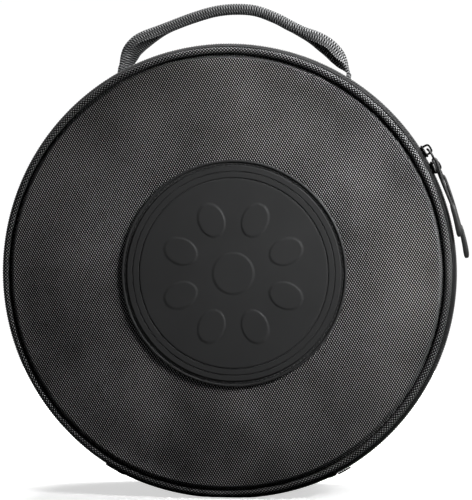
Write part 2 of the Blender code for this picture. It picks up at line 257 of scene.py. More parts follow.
def twisted_material(name, dark, light, pitch):
    """Twisted thread or braided cord: slanting strands along its length."""
    n = Nodes(name)
    strands = n.wave(n.uv(), (1 / pitch, 0.45 / pitch))
    crossing = n.wave(n.uv(), (1 / pitch, -0.45 / pitch))
    height = n.math("MAXIMUM", strands, crossing)
    fine = n.noise(n.place(), 3000.0, 2.0)
    lit = n.math("MULTIPLY", height, n.between(fine, 0.6, 1.4))
    n.link(n.ramp(lit, ((0.0, grey(dark)), (1.0, grey(light)))), n.shader.inputs["Base Color"])
    n.link(n.between(height, 0.85, 0.6), n.shader.inputs["Roughness"])
    n.bump(height, 0.00012)
    return n.material


MATERIALS = {
    # In the cloth and webbing entries the light value is a painted highlight on the threads or ribs, and the
    # dark value is painted shade between them.
    "nylon": cloth_material("woven_nylon", 0.0012, 0.72),
    "trim": cloth_material("trim_cloth", 0.003, 0.60, ((400.0, 400.0), (400.0, -400.0)), 0.00014),
    "patch": cloth_material("patch_cloth", 0.002, 0.060, ((480.0, 0.0), (0.0, 480.0)), 0.00018),
    "webbing": webbing_material("webbing", 0.002, 0.50, 1 / 0.0019, 1 / 0.0038),
    "tape": webbing_material("zip_tape", 0.003, 0.07, 1 / 0.0009, 1 / 0.0018),
    "lining": knit_material("brushed_lining", 0.010, 0.045),
    "rubber": moulded_material("moulded_rubber", 0.050, 0.006, 0.42),
    "coil": moulded_material("zip_coil_plastic", 0.060, 0.015, 0.36, 1500.0),
    "metal": moulded_material("black_metal", 0.022, 0.008, 0.24, 4000.0, 0.000006, 0.85, 0.3),
    "grip": moulded_material("grip_plastic", 0.030, 0.008, 0.38, 1800.0, 0.00003),
    "thread": twisted_material("thread", 0.008, 0.075, 0.0006),
    "cord": twisted_material("cord", 0.003, 0.050, 0.0012),
}


# ---------------------------------------------------------------- mesh tools

def make_piece(name, verts, faces, material, uvs=None, smooth_angle=40.0, weld=1e-6):
    """A closed mesh, with its metric UVs (one for each face corner) if it has any."""
    mesh = bpy.data.meshes.new(name)
    mesh.from_pydata([tuple(v) for v in verts], [], [tuple(f) for f in faces])
    if uvs is not None:
        layer = mesh.uv_layers.new(name="metric")
        layer.data.foreach_set("uv", np.asarray(uvs, np.float32).reshape(-1))
    bm = bmesh.new()
    bm.from_mesh(mesh)
    bmesh.ops.remove_doubles(bm, verts=bm.verts, dist=weld)
    bmesh.ops.recalc_face_normals(bm, faces=bm.faces)
    bm.to_mesh(mesh)
    bm.free()
    mesh.materials.append(MATERIALS[material])
    mesh.shade_smooth()
    mesh.set_sharp_from_angle(angle=math.radians(smooth_angle))
    piece = bpy.data.objects.new(name, mesh)
    bpy.context.scene.collection.objects.link(piece)
    return piece


def grid_faces(rows, columns, close_rows, close_columns):
    """The quads of a grid of points, numbered row by row, and the (row, column) of each corner unwrapped."""
    faces, corners = [], []
    for row in range(rows if close_rows else rows - 1):
        for column in range(columns if close_columns else columns - 1):
            cell = ((row, column), (row, column + 1), (row + 1, column + 1), (row + 1, column))
            faces.append([(r % rows) * columns + c % columns for r, c in cell])
            corners.append(cell)
    return faces, corners


def flatten_foot(z):
    below = np.maximum(AXIS_HEIGHT - z - FLATTEN_FROM, 0.0)
    return z + FLATTEN_RATE * below * below


def smooth_step(value):
    t = np.clip(value, 0.0, 1.0)
    return t * t * (3 - 2 * t)


def rounded(points, radius, steps=4):
    """A closed outline with its corners rounded off by arcs, each no larger than half of its sides."""
    result = []
    count = len(points)
    for index in range(count):
        before, corner, after = (np.array(points[(index + step) % count], float) for step in (-1, 0, 1))
        to_before, to_after = before - corner, after - corner
        reach = min(radius, 0.45 * np.linalg.norm(to_before), 0.45 * np.linalg.norm(to_after))
        start = corner + to_before / np.linalg.norm(to_before) * reach
        end = corner + to_after / np.linalg.norm(to_after) * reach
        for step in range(steps + 1):
            t = step / steps
            result.append((1 - t) ** 2 * start + 2 * t * (1 - t) * corner + t * t * end)
    return np.array(result)


def resampled(points, spacing):
    """Points along a line of points, about evenly spaced, through a smooth curve."""
    points = np.array(points, float)
    padded = np.vstack([2 * points[0] - points[1], points, 2 * points[-1] - points[-2]])
    fine = []
    for index in range(1, len(padded) - 2):
        p0, p1, p2, p3 = padded[index - 1:index + 3]
        for t in np.linspace(0, 1, 12, endpoint=False):
            fine.append(0.5 * (2 * p1 + (p2 - p0) * t + (2 * p0 - 5 * p1 + 4 * p2 - p3) * t * t
                               + (3 * p1 - p0 - 3 * p2 + p3) * t ** 3))
    fine.append(points[-1])
    fine = np.array(fine)
    lengths = np.concatenate([[0], np.cumsum(np.linalg.norm(np.diff(fine, axis=0), axis=1))])
    wanted = np.linspace(0, lengths[-1], max(int(lengths[-1] / spacing), 2) + 1)
    return np.stack([np.interp(wanted, lengths, fine[:, axis]) for axis in range(fine.shape[1])], axis=1)


def turned(name, profile, material, start=-90.0, sweep=360.0, steps=240, wobble=None, ground=False,
           planar=0, centre_x=0.0, radius_for_uv=None):
    """Turns a closed profile of (radius, y) points about the case's axis, with its cloth laid along it."""
    profile = np.asarray(profile, float)
    columns = len(profile)
    full = sweep >= 360.0
    angles = np.radians(start + sweep * np.arange(steps + (0 if full else 1)) / steps)
    rows = len(angles)
    radius = np.repeat(profile[None, :, 0], rows, axis=0)
    y = np.repeat(profile[None, :, 1], rows, axis=0)
    angle = np.repeat(angles[:, None], columns, axis=1)
    if wobble is not None:
        radius, y = wobble(angle, radius, y)
    x = centre_x + radius * np.cos(angle)
    z = flatten_foot(AXIS_HEIGHT + radius * np.sin(angle))
    if ground:
        z = np.maximum(z, 0.0)
    verts = np.stack([x, y, z], axis=2).reshape(-1, 3)
    faces, corners = grid_faces(rows, columns, full, True)
    across = np.concatenate([[0], np.cumsum(np.linalg.norm(np.diff(np.vstack([profile, profile[:1]]), axis=0),
                                                           axis=1))])
    along = math.radians(sweep) / steps * (radius_for_uv or float(profile[:, 0].max()))
    if planar:
        laid = np.where(profile[:, 0] > 1e-6, across[:-1] / np.maximum(profile[:, 0], 1e-6), 1.0)
        laid[int(profile[:, 0].argmax()) + 1:] = 1.0
        uvs = [(planar * verts[index][0] * laid[index % columns],
                (verts[index][2] - AXIS_HEIGHT) * laid[index % columns])
               for face in faces for index in face]
    else:
        uvs = [(row * along, across[column]) for cell in corners for row, column in cell]
    if not full:
        for row in (0, rows - 1):
            faces.append([row * columns + column for column in range(columns)])
            uvs.extend((point[0], point[1]) for point in profile)
    return make_piece(name, verts, faces, material, uvs)


def swept(name, stations, material, capped=True, closed=False):
    """Joins rings of points into one body; the UVs run along the stations and round each ring."""
    stations = np.asarray(stations, float)
    rows, columns = stations.shape[:2]
    verts = stations.reshape(-1, 3)
    faces, corners = grid_faces(rows, columns, closed, True)
    middles = stations.mean(axis=1)
    along = np.concatenate([[0], np.cumsum(np.linalg.norm(np.diff(middles, axis=0), axis=1))])
    along = np.append(along, along[-1] + np.linalg.norm(middles[0] - middles[-1]))
    ring = stations[rows // 2]
    round_ring = np.concatenate([[0], np.cumsum(np.linalg.norm(np.diff(np.vstack([ring, ring[:1]]), axis=0),
                                                               axis=1))])
    uvs = [(along[row], round_ring[column]) for cell in corners for row, column in cell]
    if capped and not closed:
        for row in (0, rows - 1):
            faces.append([row * columns + column for column in range(columns)])
            uvs.extend((along[row], round_ring[column]) for column in range(columns))
    return make_piece(name, verts, faces, material, uvs)


def tube_stations(path, radius, sides=10, closed=False):
    """Rings round a path, turned little from each to the next. radius is one for all, or one a point."""
    path = np.asarray(path, float)
    count = len(path)
    radii = np.broadcast_to(radius, (count,))
    tangents = np.roll(path, -1, axis=0) - np.roll(path, 1, axis=0)
    if not closed:
        tangents[0], tangents[-1] = path[1] - path[0], path[-1] - path[-2]
    tangents /= np.linalg.norm(tangents, axis=1)[:, None]
    normal = np.cross(tangents[0], (0.3, 1.0, 0.2))
    turns = np.arange(sides) * math.tau / sides
    rings = []
    for index in range(count):
        normal = normal - tangents[index] * np.dot(normal, tangents[index])
        normal /= np.linalg.norm(normal)
        other = np.cross(tangents[index], normal)
        rings.append(path[index] + radii[index] * (np.cos(turns)[:, None] * normal + np.sin(turns)[:, None]
                                                   * other))
    return rings


def stitches(name, marks, material="thread", length=0.0026, width=0.00045, height=0.0003):
    """Many short raised stitches, each at a place with its way along and its way out."""
    verts, faces, uvs = [], [], []
    sections = ((-0.5, 0.35, -0.4), (-0.36, 0.9, 0.35), (0.0, 1.0, 0.6), (0.36, 0.9, 0.35), (0.5, 0.35, -0.4))
    sides = 6
    for place, along, out in marks:
        place, along, out = (np.array(v, float) for v in (place, along, out))
        across = np.cross(along, out)
        base = len(verts)
        for at, size, lift in sections:
            for side in range(sides):
                turn = math.tau * side / sides
                verts.append(place + along * at * length + across * math.cos(turn) * width * size
                             + out * (lift * height + math.sin(turn) * height * size))
        for section in range(len(sections) - 1):
            for side in range(sides):
                after = (side + 1) % sides
                low = base + section * sides
                faces.append((low + side, low + after, low + sides + after, low + sides + side))
                uvs.extend(((section * 0.0006, side * 0.0003), (section * 0.0006, after * 0.0003),
                            (section * 0.0006 + 0.0006, after * 0.0003),
                            (section * 0.0006 + 0.0006, side * 0.0003)))
        for low in (base, base + (len(sections) - 1) * sides):
            faces.append(tuple(low + side for side in range(sides)))
            uvs.extend((0.0, side * 0.0003) for side in range(sides))
    return make_piece(name, verts, faces, material, uvs, 60.0, 1e-8)


def on_case(angle, radius, y):
    """The point at an angle in degrees and a distance from the case's axis."""
    turn = math.radians(angle)
    z = float(flatten_foot(np.array(AXIS_HEIGHT + radius * math.sin(turn))))
    return np.array((radius * math.cos(turn), y, z))


def ring_marks(radius, y, pitch, start=-90.0, sweep=360.0, out=None):
    """Marks for a row of stitches round the case."""
    count = int(math.radians(sweep) * radius / pitch)
    marks = []
    for index in range(count):
        angle = start + sweep * (index + 0.5) / count
        turn = math.radians(angle)
        away = np.array((math.cos(turn), 0.0, math.sin(turn))) if out is None else np.array(out, float)
        marks.append((on_case(angle, radius, y), np.array((-math.sin(turn), 0.0, math.cos(turn))), away))
    return marks


def ripple(size, height, seed):
    """Smooth noise over the case, the same each run."""
    def at(x, y, z):
        flat = np.stack([np.ravel(x), np.ravel(y), np.ravel(z)], axis=1) / size
        values = [noise.noise(Vector((a + seed, b, c))) for a, b, c in flat]
        return height * np.array(values).reshape(np.shape(x))
    return at


# ---------------------------------------------------------------- the shells

def face_rise(radius):
    """How far a face stands over its seam: level in the middle, a soft shoulder, then down into the seam."""
    top = FACE_FRONT - SEAM_Y - 0.0001
    shoulder = top - 0.0018 * smooth_step((radius - 0.096) / 0.060)
    return shoulder - (top - 0.0018 + 0.0016) * smooth_step((radius - FACE_EDGE + 0.0034) / 0.0032) ** 1.4


def make_face(name, side, body, node):
    """A cloth face over its foam, drawn down into the piped seam with a few soft puckers."""
    radii = np.concatenate([np.linspace(0.0, 0.085, 12), np.linspace(0.090, 0.150, 18),
                            np.linspace(0.1515, FACE_EDGE, 16)])
    outer = [(r, side * (SEAM_Y + float(face_rise(r)))) for r in radii]
    inner = [(r, side * (SEAM_Y + min(float(face_rise(r)) - 0.0008, 0.0048))) for r in radii[::-1]]
    swell = ripple(0.060, 0.0022, 3.0 + side)
    pucker = ripple(0.016, 0.0005, 9.0 + side)

    def wobble(angle, radius, y):
        x, z = radius * np.cos(angle), radius * np.sin(angle)
        off_badge = smooth_step((np.hypot(x - BADGE_X, z) - BADGE_RADIUS) / 0.03)
        off_edge = 1 - smooth_step((radius - 0.147) / 0.009)
        wave = swell(x, 0 * x, z) * off_badge * off_edge
        near_edge = smooth_step((radius - 0.110) / 0.03) * off_edge
        folds = pucker(60 * 0.016 * angle / math.pi * 2.2, 0 * x, radius * 0.25) * near_edge
        belly = 0.0012 * np.exp(-((radius - 0.128) / 0.016) ** 2) * smooth_step(-np.sin(angle) * 1.6 - 0.3)
        return radius, y + side * np.clip(wave + folds + belly, -0.0014, 0.0018)

    piece = turned(name, np.array(outer + inner), "nylon", steps=288, wobble=wobble, planar=1
                   if side < 0 else -1)
    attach(piece, body)
    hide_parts(node)
    return piece


def make_piping(name, side, body, node):
    """A cord in a folded strip of cloth, sewn into the seam."""
    turns = np.radians(np.arange(0, 360, 24))
    middle_radius = SEAM_RADIUS - 0.0005
    profile = [(middle_radius + 0.0021 * math.cos(t), side * (SEAM_Y + 0.0003 + 0.0023 * math.sin(t)))
               for t in turns]
    pull = ripple(0.012, 0.00016, 5.0 + side)

    def wobble(angle, radius, y):
        lift = pull(SEAM_RADIUS * angle, 0 * angle, 0 * angle)
        return radius + lift, y

    piece = turned(name, profile, "trim", steps=360, wobble=wobble)
    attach(piece, body)
    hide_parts(node)


def make_sides():
    """The cloth bands round the lid and the body, each turned in at the zip and sewn down there."""
    lid_end, body_end = ZIP_Y - 0.0003, ZIP_Y + 0.0003
    out = BAND_RADIUS
    lid = [(out - 0.0004, lid_end - 0.0008), (out + 0.0001, -0.0385), (out - 0.0007, -0.0425),
           (out - 0.0034, -0.0482), (out - 0.0044, -0.0478), (out - 0.0016, -0.0425),
           (out - 0.0010, lid_end - 0.0008)]
    body = [(out - 0.0004, body_end + 0.0008), (out + 0.0002, -0.030), (out + 0.0004, -0.010),
            (out + 0.0003, 0.012),
            (out, 0.030), (out - 0.0010, 0.0405), (out - 0.0034, 0.0482), (out - 0.0044, 0.0478),
            (out - 0.0020, 0.0400), (out - 0.0010, 0.030), (out - 0.0010, -0.030),
            (out - 0.0010, body_end + 0.0008)]
    dent = ripple(0.045, 0.0008, 21.0)
    for name, points, holder, node in (("lid_side_band", lid, "lid", "lid_side_cloth"),
                                       ("body_side_band", body, "case_body", "body_side_cloth")):
        line = resampled([*points, points[0]], 0.0022)[:-1]
        middle_y = (max(p[1] for p in points) + min(p[1] for p in points)) / 2
        reach = max(p[1] for p in points) - middle_y

        def wobble(angle, radius, y, middle_y=middle_y, reach=reach):
            inside = 1 - smooth_step((np.abs(y - middle_y) / reach - 0.55) / 0.4)
            return radius + dent(radius * np.cos(angle), y, radius * np.sin(angle)) * inside * 0.7, y

        piece = turned(name, line, "nylon", steps=300, wobble=wobble)
        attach(piece, holder)
        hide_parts(node)


def make_padding():
    """Foam behind brushed lining: a pad behind each face, and a padded wall with a rounded rim in each."""
    for side, word, holder, face, wall in ((-1, "lid", "lid", "lid_face", "lid_side"),
                                           (1, "back", "case_body", "back_face", "body_side")):
        outer = [(r, side * (SEAM_Y + min(float(face_rise(r)) - 0.0026, 0.0030))) for r in
                 (0.0, 0.04, 0.084, 0.11, 0.13, 0.145, 0.1525)]
        inner = [(0.1525, side * 0.0452), (0.145, side * 0.0458), (0.13, side * 0.0472),
                 (0.11, side * 0.0490),
                 (0.084, side * 0.0496), (0.04, side * 0.0496), (0.0, side * 0.0496)]
        pad = turned(f"{word}_face_padding", np.array(outer + inner), "lining", steps=192, planar=1)
        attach(pad, holder)
        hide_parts(f"{face}_foam", f"{face}_lining")
        low = BAND_RADIUS - 0.0064
        high = BAND_RADIUS - 0.0013
        near = ZIP_Y + side * 0.0003
        far = side * 0.0445
        drop = 0.0019
        outline = [(low, near), (high, near), (high - 0.0002, (near + far) / 2), (high - drop, far),
                   (low - drop, far)]
        if side > 0:
            outline = [(low, near), (high, near), (high, 0.030), (high - drop, far), (low - drop, far),
                       (low, 0.030)]
        padding = turned(f"{wall}_padding", rounded(outline, 0.0018), "lining", steps=192)
        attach(padding, holder)
        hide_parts(f"{wall}_foam", f"{wall}_lining")
        turns = np.radians(np.arange(0, 360, 30))
        bead = [(0.1541 + 0.0014 * math.cos(t), side * (0.0466 + 0.0018 * math.sin(t))) for t in turns]
        binding = turned(f"{word}_inner_binding", bead, "tape", steps=240)
        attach(binding, holder)
        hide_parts(f"{word}_seam_binding")


# ---------------------------------------------------------------- the zip

def make_zip():
    start, sweep = -90.0 + ZIP_END_ANGLE, 360.0 - 2 * ZIP_END_ANGLE
    for word, side, holder in (("lid", -1, "lid"), ("body", 1, "case_body")):
        near = ZIP_Y + side * 0.0002
        drop = 0.0012 if side < 0 else 0.0
        tape = [(TAPE_OUT, near), (TAPE_OUT, ZIP_Y + side * 0.0045), (TAPE_OUT - drop, ZIP_Y + side * 0.008),
                (TAPE_OUT - drop - 0.0006, ZIP_Y + side * 0.008), (TAPE_OUT - 0.0006, ZIP_Y + side * 0.0045),
                (TAPE_OUT - 0.0006, near)]
        strip = turned(f"{word}_tape", tape, "tape", start, sweep, 240)
        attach(strip, holder)
        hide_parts(f"{word}_zip_tape")
        seam = ring_marks(TAPE_OUT + 0.0001, ZIP_Y + side * 0.0040, 0.0036, start, sweep)
        sewing = stitches(f"{word}_tape_stitching", seam)
        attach(sewing, holder)
        make_teeth(word, side, holder, start, sweep)


def make_teeth(word, side, holder, start, sweep):
    """One row of the zip's coil: a nylon wire wound so that its turns show as close, slanting ridges."""
    low = TAPE_OUT + 0.0001
    pitch = 0.0018
    count = int(math.radians(sweep) * COIL_OUT / pitch)
    steps_per_tooth = 4
    steps = count * steps_per_tooth
    edge = ZIP_Y + side * 0.0021
    near = ZIP_Y + side * 0.0002
    profile = [(low, near), (COIL_OUT - 0.0004, near), (COIL_OUT, ZIP_Y + side * 0.0006),
               (COIL_OUT, ZIP_Y + side * 0.0015), (COIL_OUT - 0.0005, edge), (low, edge)]

    def wobble(angle, radius, y):
        tooth = np.cos(angle * COIL_OUT / pitch * math.tau + (y - ZIP_Y) * 700)
        share = np.clip((radius - low) / (COIL_OUT - low), 0, 1)
        return radius - share * 0.00045 * (0.5 - 0.5 * tooth), y

    row = turned(f"{word}_coil", profile, "coil", start, sweep, steps, wobble)
    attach(row, holder)
    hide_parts(f"{word}_zip_coil")


def make_end_tabs():
    """A folded scrap of tape over each end of the zip."""
    for word, angle in (("right", -90.0 + ZIP_END_ANGLE), ("left", 270.0 - ZIP_END_ANGLE - 3.5)):
        low, high = COIL_OUT + 0.0003, COIL_OUT + 0.0013
        outline = [(low, ZIP_Y + 0.0002), (high, ZIP_Y + 0.0002), (high, ZIP_Y + 0.0046),
                   (low, ZIP_Y + 0.0046)]
        tab = turned(f"end_tab_{word}", rounded(outline, 0.0004, 2), "tape", angle, 3.5, 12)
        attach(tab, "case_body")
        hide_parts(f"zip_end_tab_{word}")


# ---------------------------------------------------------------- the base patch

def make_patch():
    """The wear patch: one piece of heavier cloth over the fabric hinge, hemmed all round."""
    low, high = BAND_RADIUS + 0.0005, BAND_RADIUS + 0.0023
    back = PATCH_HIGH.y
    top = [(high - 0.0014, -0.0444), (high, -0.0400), (high, ZIP_Y), (high, -0.020), (high, 0.0),
           (high, 0.018),
           (high, back - 0.0008), (high - 0.0008, back)]
    under = [(low, back), (low, 0.018), (low, 0.0), (low, -0.020), (low, ZIP_Y), (low - 0.0001, -0.0400),
             (low - 0.0014, -0.0440)]
    line = resampled([*top, *under, top[0]], 0.0016)[:-1]
    hem = 0.0006

    def wobble(angle, radius, y):
        off = np.abs(np.degrees(angle) + 90.0)
        raised = smooth_step((off - (PATCH_HALF_ANGLE - 1.9)) / 0.5)
        share = np.clip((radius - low) / (high - low), 0, 1)
        return radius + share * hem * raised, y

    patch = turned("base_patch", line, "patch", -90.0 - PATCH_HALF_ANGLE, 2 * PATCH_HALF_ANGLE, 112, wobble,
                   True)
    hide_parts("base_patch_front", "base_patch_rear")
    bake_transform(patch)
    marks = []
    for edge_angle in (-90.0 - PATCH_HALF_ANGLE + 2.4, -90.0 + PATCH_HALF_ANGLE - 2.4):
        turn = math.radians(edge_angle)
        out = np.array((math.cos(turn), 0.0, math.sin(turn)))
        for y in np.arange(ZIP_Y + 0.006, back - 0.002, 0.0036):
            marks.append((on_case(edge_angle, high + 0.0001, y), (0, 1, 0), out))
    marks += ring_marks(high + 0.0001, back - 0.0028, 0.0036, -90.0 - PATCH_HALF_ANGLE + 2.4,
                        2 * PATCH_HALF_ANGLE - 4.8)
    marks = [(np.array((p[0], p[1], max(p[2], 0.0006))), a, o) for p, a, o in marks]
    sewing = stitches("base_patch_stitching", marks)
    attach(sewing, "case_body")


# ---------------------------------------------------------------- the badge

def badge_point(radius, turn, y):
    return (BADGE_X + radius * math.cos(turn), y, AXIS_HEIGHT + radius * math.sin(turn))


def make_badge():
    """A moulded disc: a flange with a sewn groove, a fine groove, and a raised disc with a plain relief."""
    front, back = BADGE_FRONT, BADGE_BACK
    profile = [
        (0.0, 0.0), (0.0668, 0.0), (0.0675, 0.0001), (0.0678, 0.0008), (0.0683, 0.0008), (0.0687, 0.0002),
        (0.0700, 0.00015), (0.0723, 0.0002), (0.0726, 0.0008), (0.0730, 0.0008), (0.0733, 0.0003),
               (0.0766, 0.0003),
        (0.0771, 0.0012), (0.0775, 0.0019), (0.0791, 0.0019), (0.0795, 0.0012), (0.0799, 0.0004),
               (0.0804, 0.0003),
        (0.0809, 0.0006), (BADGE_RADIUS, 0.0014), (BADGE_RADIUS, back - front - 0.0002),
        (BADGE_RADIUS - 0.0006, back - front), (0.0, back - front),
    ]
    rings = 384
    dense = [(radius, 0.0) for radius in np.linspace(0.0, 0.0668, 76)] + profile[2:]
    columns = len(dense)
    verts = []
    for step_index in range(rings):
        turn = math.tau * step_index / rings
        for radius, depth in dense:
            lift = relief(radius * math.cos(turn), radius * math.sin(turn)) if depth == 0.0 else 0.0
            verts.append(badge_point(radius, turn, front + depth - lift))
    faces, _ = grid_faces(rings, columns, True, False)
    badge = make_piece("badge_relief", verts, faces, "rubber", None, 50.0)
    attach(badge, "lid")
    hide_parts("badge")
    pitch = 0.0031
    ring = 0.0783
    count = int(math.tau * ring / pitch)
    marks = []
    for index in range(count):
        turn = math.tau * index / count
        marks.append((badge_point(ring, turn, front + 0.0017), (-math.sin(turn), 0.0, math.cos(turn)),
                      (0, -1, 0)))
    sewing = stitches("badge_sewing", marks, length=0.0024, width=0.0004, height=0.0003)
    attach(sewing, "lid")
    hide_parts("badge_stitching")


def relief(x, z):
    """The height of the badge's plain pattern: a raised centre disc in a ring of eight ovals."""
    line, height = 0.0006, 0.00055
    radius = math.hypot(x, z)
    centre = smooth_step((0.0150 - radius) / line) * height
    turn = math.atan2(z, x)
    spoke = round((turn - math.pi / 8) / (math.pi / 4)) * math.pi / 4 + math.pi / 8
    along = x * math.cos(spoke) + z * math.sin(spoke) - 0.0410
    across = -x * math.sin(spoke) + z * math.cos(spoke)
    oval = math.hypot(along / 0.0125, across / 0.0095)
    return float(max(centre, smooth_step((1.0 - oval) * 0.0110 / line) * height))


# ---------------------------------------------------------------- the handle

HANDLE_ROUTE = [
    (-0.0823, 0.1475), (-0.0815, 0.1515), (-0.0794, 0.1580), (-0.0758, 0.1650), (-0.0705, 0.1702),
                (-0.0648, 0.1734),
    (-0.0568, 0.1768), (-0.0419, 0.1828), (-0.0270, 0.1880), (-0.0120, 0.1920), (0.0030, 0.1933),
                (0.0179, 0.1919),
    (0.0329, 0.1862), (0.0419, 0.1814), (0.0523, 0.1762), (0.0628, 0.1716), (0.0716, 0.1662),
                (0.0780, 0.1598),
    (0.0832, 0.1524), (0.0862, 0.1460),
]


def webbing_section(rolled, twist, width=0.027, thickness=0.0017, points=15):
    """A strip of webbing seen end on, curled down by a share of a full tube and twisted, in (across, up)."""
    reach = np.linspace(-width / 2, width / 2, points)
    bend = rolled * 0.93 * math.pi * reach / (width / 2)
    step = width / (points - 1)
    across = np.concatenate([[0], np.cumsum(np.cos((bend[1:] + bend[:-1]) / 2) * step)])
    down = np.concatenate([[0], np.cumsum(np.sin((bend[1:] + bend[:-1]) / 2) * step)])
    across -= across[points // 2]
    up = -(down - down[points // 2])
    up -= up.mean() * 1.0
    normal = np.stack([np.sin(bend), np.cos(bend)], axis=1)
    line = np.stack([across, up], axis=1)
    top = line + normal * thickness / 2
    under = line - normal * thickness / 2
    section = np.concatenate([top, under[::-1]])
    section[:, 1] *= 1 - 0.26 * smooth_step((rolled - 0.6) / 0.4)
    turn = np.array(((math.cos(twist), -math.sin(twist)), (math.sin(twist), math.cos(twist))))
    return section @ turn


def make_handle():
    """One strip of webbing: sewn down, folded back over itself, and rolled to a tube where it is held."""
    surface = BAND_RADIUS + 0.0014

    def foot(side, angle):
        """The end laid on the case, and its fold back over itself below the loop."""
        laid = [(surface, angle + further) for further in (7.4, 5.6, 3.8, 2.2, 0.9)]
        fold = [(surface + 0.0004, angle + 0.1), (surface + 0.0018, angle - 0.25),
                (surface + 0.0034, angle + 0.05)]
        return [(side * r * math.cos(math.radians(a)), r * math.sin(math.radians(a))) for r, a in laid + fold]

    route = foot(-1, 60.6) + HANDLE_ROUTE + foot(1, 59.1)[::-1]
    line = resampled(route, 0.0016)
    lengths = np.concatenate([[0], np.cumsum(np.linalg.norm(np.diff(line, axis=0), axis=1))])
    ends = [lengths[np.argmin(np.abs(line - np.array(HANDLE_ROUTE[index])).sum(axis=1))] for index in (0, -1)]
    tangents = np.gradient(line, axis=0)
    tangents /= np.linalg.norm(tangents, axis=1)[:, None]
    stations = []
    for (x, z), (tx, tz), at in zip(line, tangents, lengths):
        free = min(at - ends[0], ends[1] - at)
        rolled = float(0.62 * smooth_step((free + 0.001) / 0.020) + 0.38
                       * smooth_step((free - 0.020) / 0.035))
        twist = math.radians(20) * math.sin(math.pi * min(max(free / 0.055, 0.0), 1.0))
        up = np.array((-tz, 0.0, tx))
        ring = [np.array((x, HANDLE_Y, AXIS_HEIGHT + z)) + np.array((0, 1, 0)) * a + up * u
                for a, u in webbing_section(rolled, twist)]
        stations.append(ring)
    handle = swept("handle_webbing", stations, "webbing")
    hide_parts("handle_loop", "handle_tab_left", "handle_tab_right")
    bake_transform(handle)
    for word, start in (("right", 59.6), ("left", 180.0 - 68.0)):
        marks = []
        top = BAND_RADIUS + 0.0014 + 0.0010
        for y in (HANDLE_Y - 0.0100, HANDLE_Y + 0.0100):
            marks += ring_marks(top, y, 0.0034, start, 8.0)
        for at in (start + 0.2, start + 7.8):
            turn = math.radians(at)
            out = (math.cos(turn), 0.0, math.sin(turn))
            marks += [(on_case(at, top, y), (0, 1, 0), out)
                      for y in np.arange(HANDLE_Y - 0.0085, HANDLE_Y + 0.009, 0.0034)]
        for slope in (-1, 1):
            for t in np.linspace(0.12, 0.88, 7):
                turn = math.radians(start + 8.0 * t)
                out = np.array((math.cos(turn), 0.0, math.sin(turn)))
                round_case = np.array((-math.sin(turn), 0.0, math.cos(turn)))
                along = round_case * 0.75 + np.array((0, slope * 0.66, 0))
                marks.append((on_case(start + 8.0 * t, top, HANDLE_Y + slope * 0.0190 * (t - 0.5)),
                              along / np.linalg.norm(along), out))
        sewing = stitches(f"handle_sewing_{word}", marks)
        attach(sewing, "case_body")
        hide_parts(f"handle_stitch_{word}_front", f"handle_stitch_{word}_rear")


# ---------------------------------------------------------------- sliders and pulls

def local_frame(angle):
    """At an angle on the case: the ways clockwise along it, along +Y and outwards."""
    turn = math.radians(angle)
    return (np.array((math.sin(turn), 0.0, -math.cos(turn))), np.array((0.0, 1.0, 0.0)),
            np.array((math.cos(turn), 0.0, math.sin(turn))))


def extruded(outline, low, high, origin, axes, bevel):
    """A plate with rounded edges from an outline in (along, y), between two heights outwards."""
    along, across, out = axes
    rings = []
    for inset, height in ((bevel, low), (0.0, low + bevel), (0.0, high - bevel),
                          (bevel * 0.6, high - bevel * 0.25),
                          (bevel * 1.4, high)):
        ring = []
        for x, y in outline:
            length = math.hypot(x, y) or 1.0
            scale = max(length - inset, 0.0) / length
            ring.append(origin + along * x * scale + across * y * scale + out * height)
        rings.append(ring)
    return rings


def make_slider(word, angle):
    """A cast slider: a waisted plate over the coil, a lip down its side and an arched bridge for the bail."""
    axes = local_frame(angle)
    along, across, out = axes
    origin = np.array((0.0, ZIP_Y, AXIS_HEIGHT))
    plate_low = COIL_OUT + 0.0003
    plate_high = plate_low + 0.0016
    half_length, half_width = 0.00475, 0.00375
    outline = rounded([(-half_length, -half_width * 0.72), (-half_length * 0.2, -half_width * 0.86),
                       (half_length * 0.75, -half_width), (half_length, -half_width * 0.55),
                       (half_length, half_width * 0.55), (half_length * 0.75, half_width),
                       (-half_length * 0.2, half_width * 0.86), (-half_length, half_width * 0.72)], 0.0012, 3)
    plate = swept(f"slider_{word}_plate", extruded(outline, plate_low, plate_high, origin, axes, 0.0004),
                  "metal")
    lip_outline = [(x * 0.86, half_width - 0.0009 + y) for x, y in rounded(
        [(-half_length, -0.00035), (half_length, -0.00035), (half_length, 0.00045),
         (-half_length, 0.00045)], 0.0003, 2)]
    lip = swept(f"slider_{word}_lip", extruded(lip_outline, TAPE_OUT + 0.0004, plate_low + 0.0004, origin,
                                               axes, 0.0001),
                "metal")
    bridge_top = PIVOT_RADIUS + 0.0022
    arch = [(-0.0031, plate_high - 0.0003), (-0.0031, PIVOT_RADIUS), (-0.0026, bridge_top - 0.0006),
            (-0.0013, bridge_top), (0.0013, bridge_top), (0.0026, bridge_top - 0.0006),
            (0.0031, PIVOT_RADIUS),
            (0.0031, plate_high - 0.0003)]
    stations = []
    line = resampled(arch, 0.0004)
    tangents = np.gradient(line, axis=0)
    tangents /= np.linalg.norm(tangents, axis=1)[:, None]
    section = rounded([(-0.0018, -0.0007), (0.0018, -0.0007), (0.0018, 0.0007), (-0.0018, 0.0007)], 0.0005, 2)
    for (x, r), (tx, tr) in zip(line, tangents):
        place = origin + along * x + out * r
        normal = along * -tr + out * tx
        stations.append([place + across * a + normal * b for a, b in section])
    bridge = swept(f"slider_{word}_bridge", stations, "metal")
    for piece in (plate, lip, bridge):
        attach(piece, f"slider_{word}")
    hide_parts(f"slider_{word}")


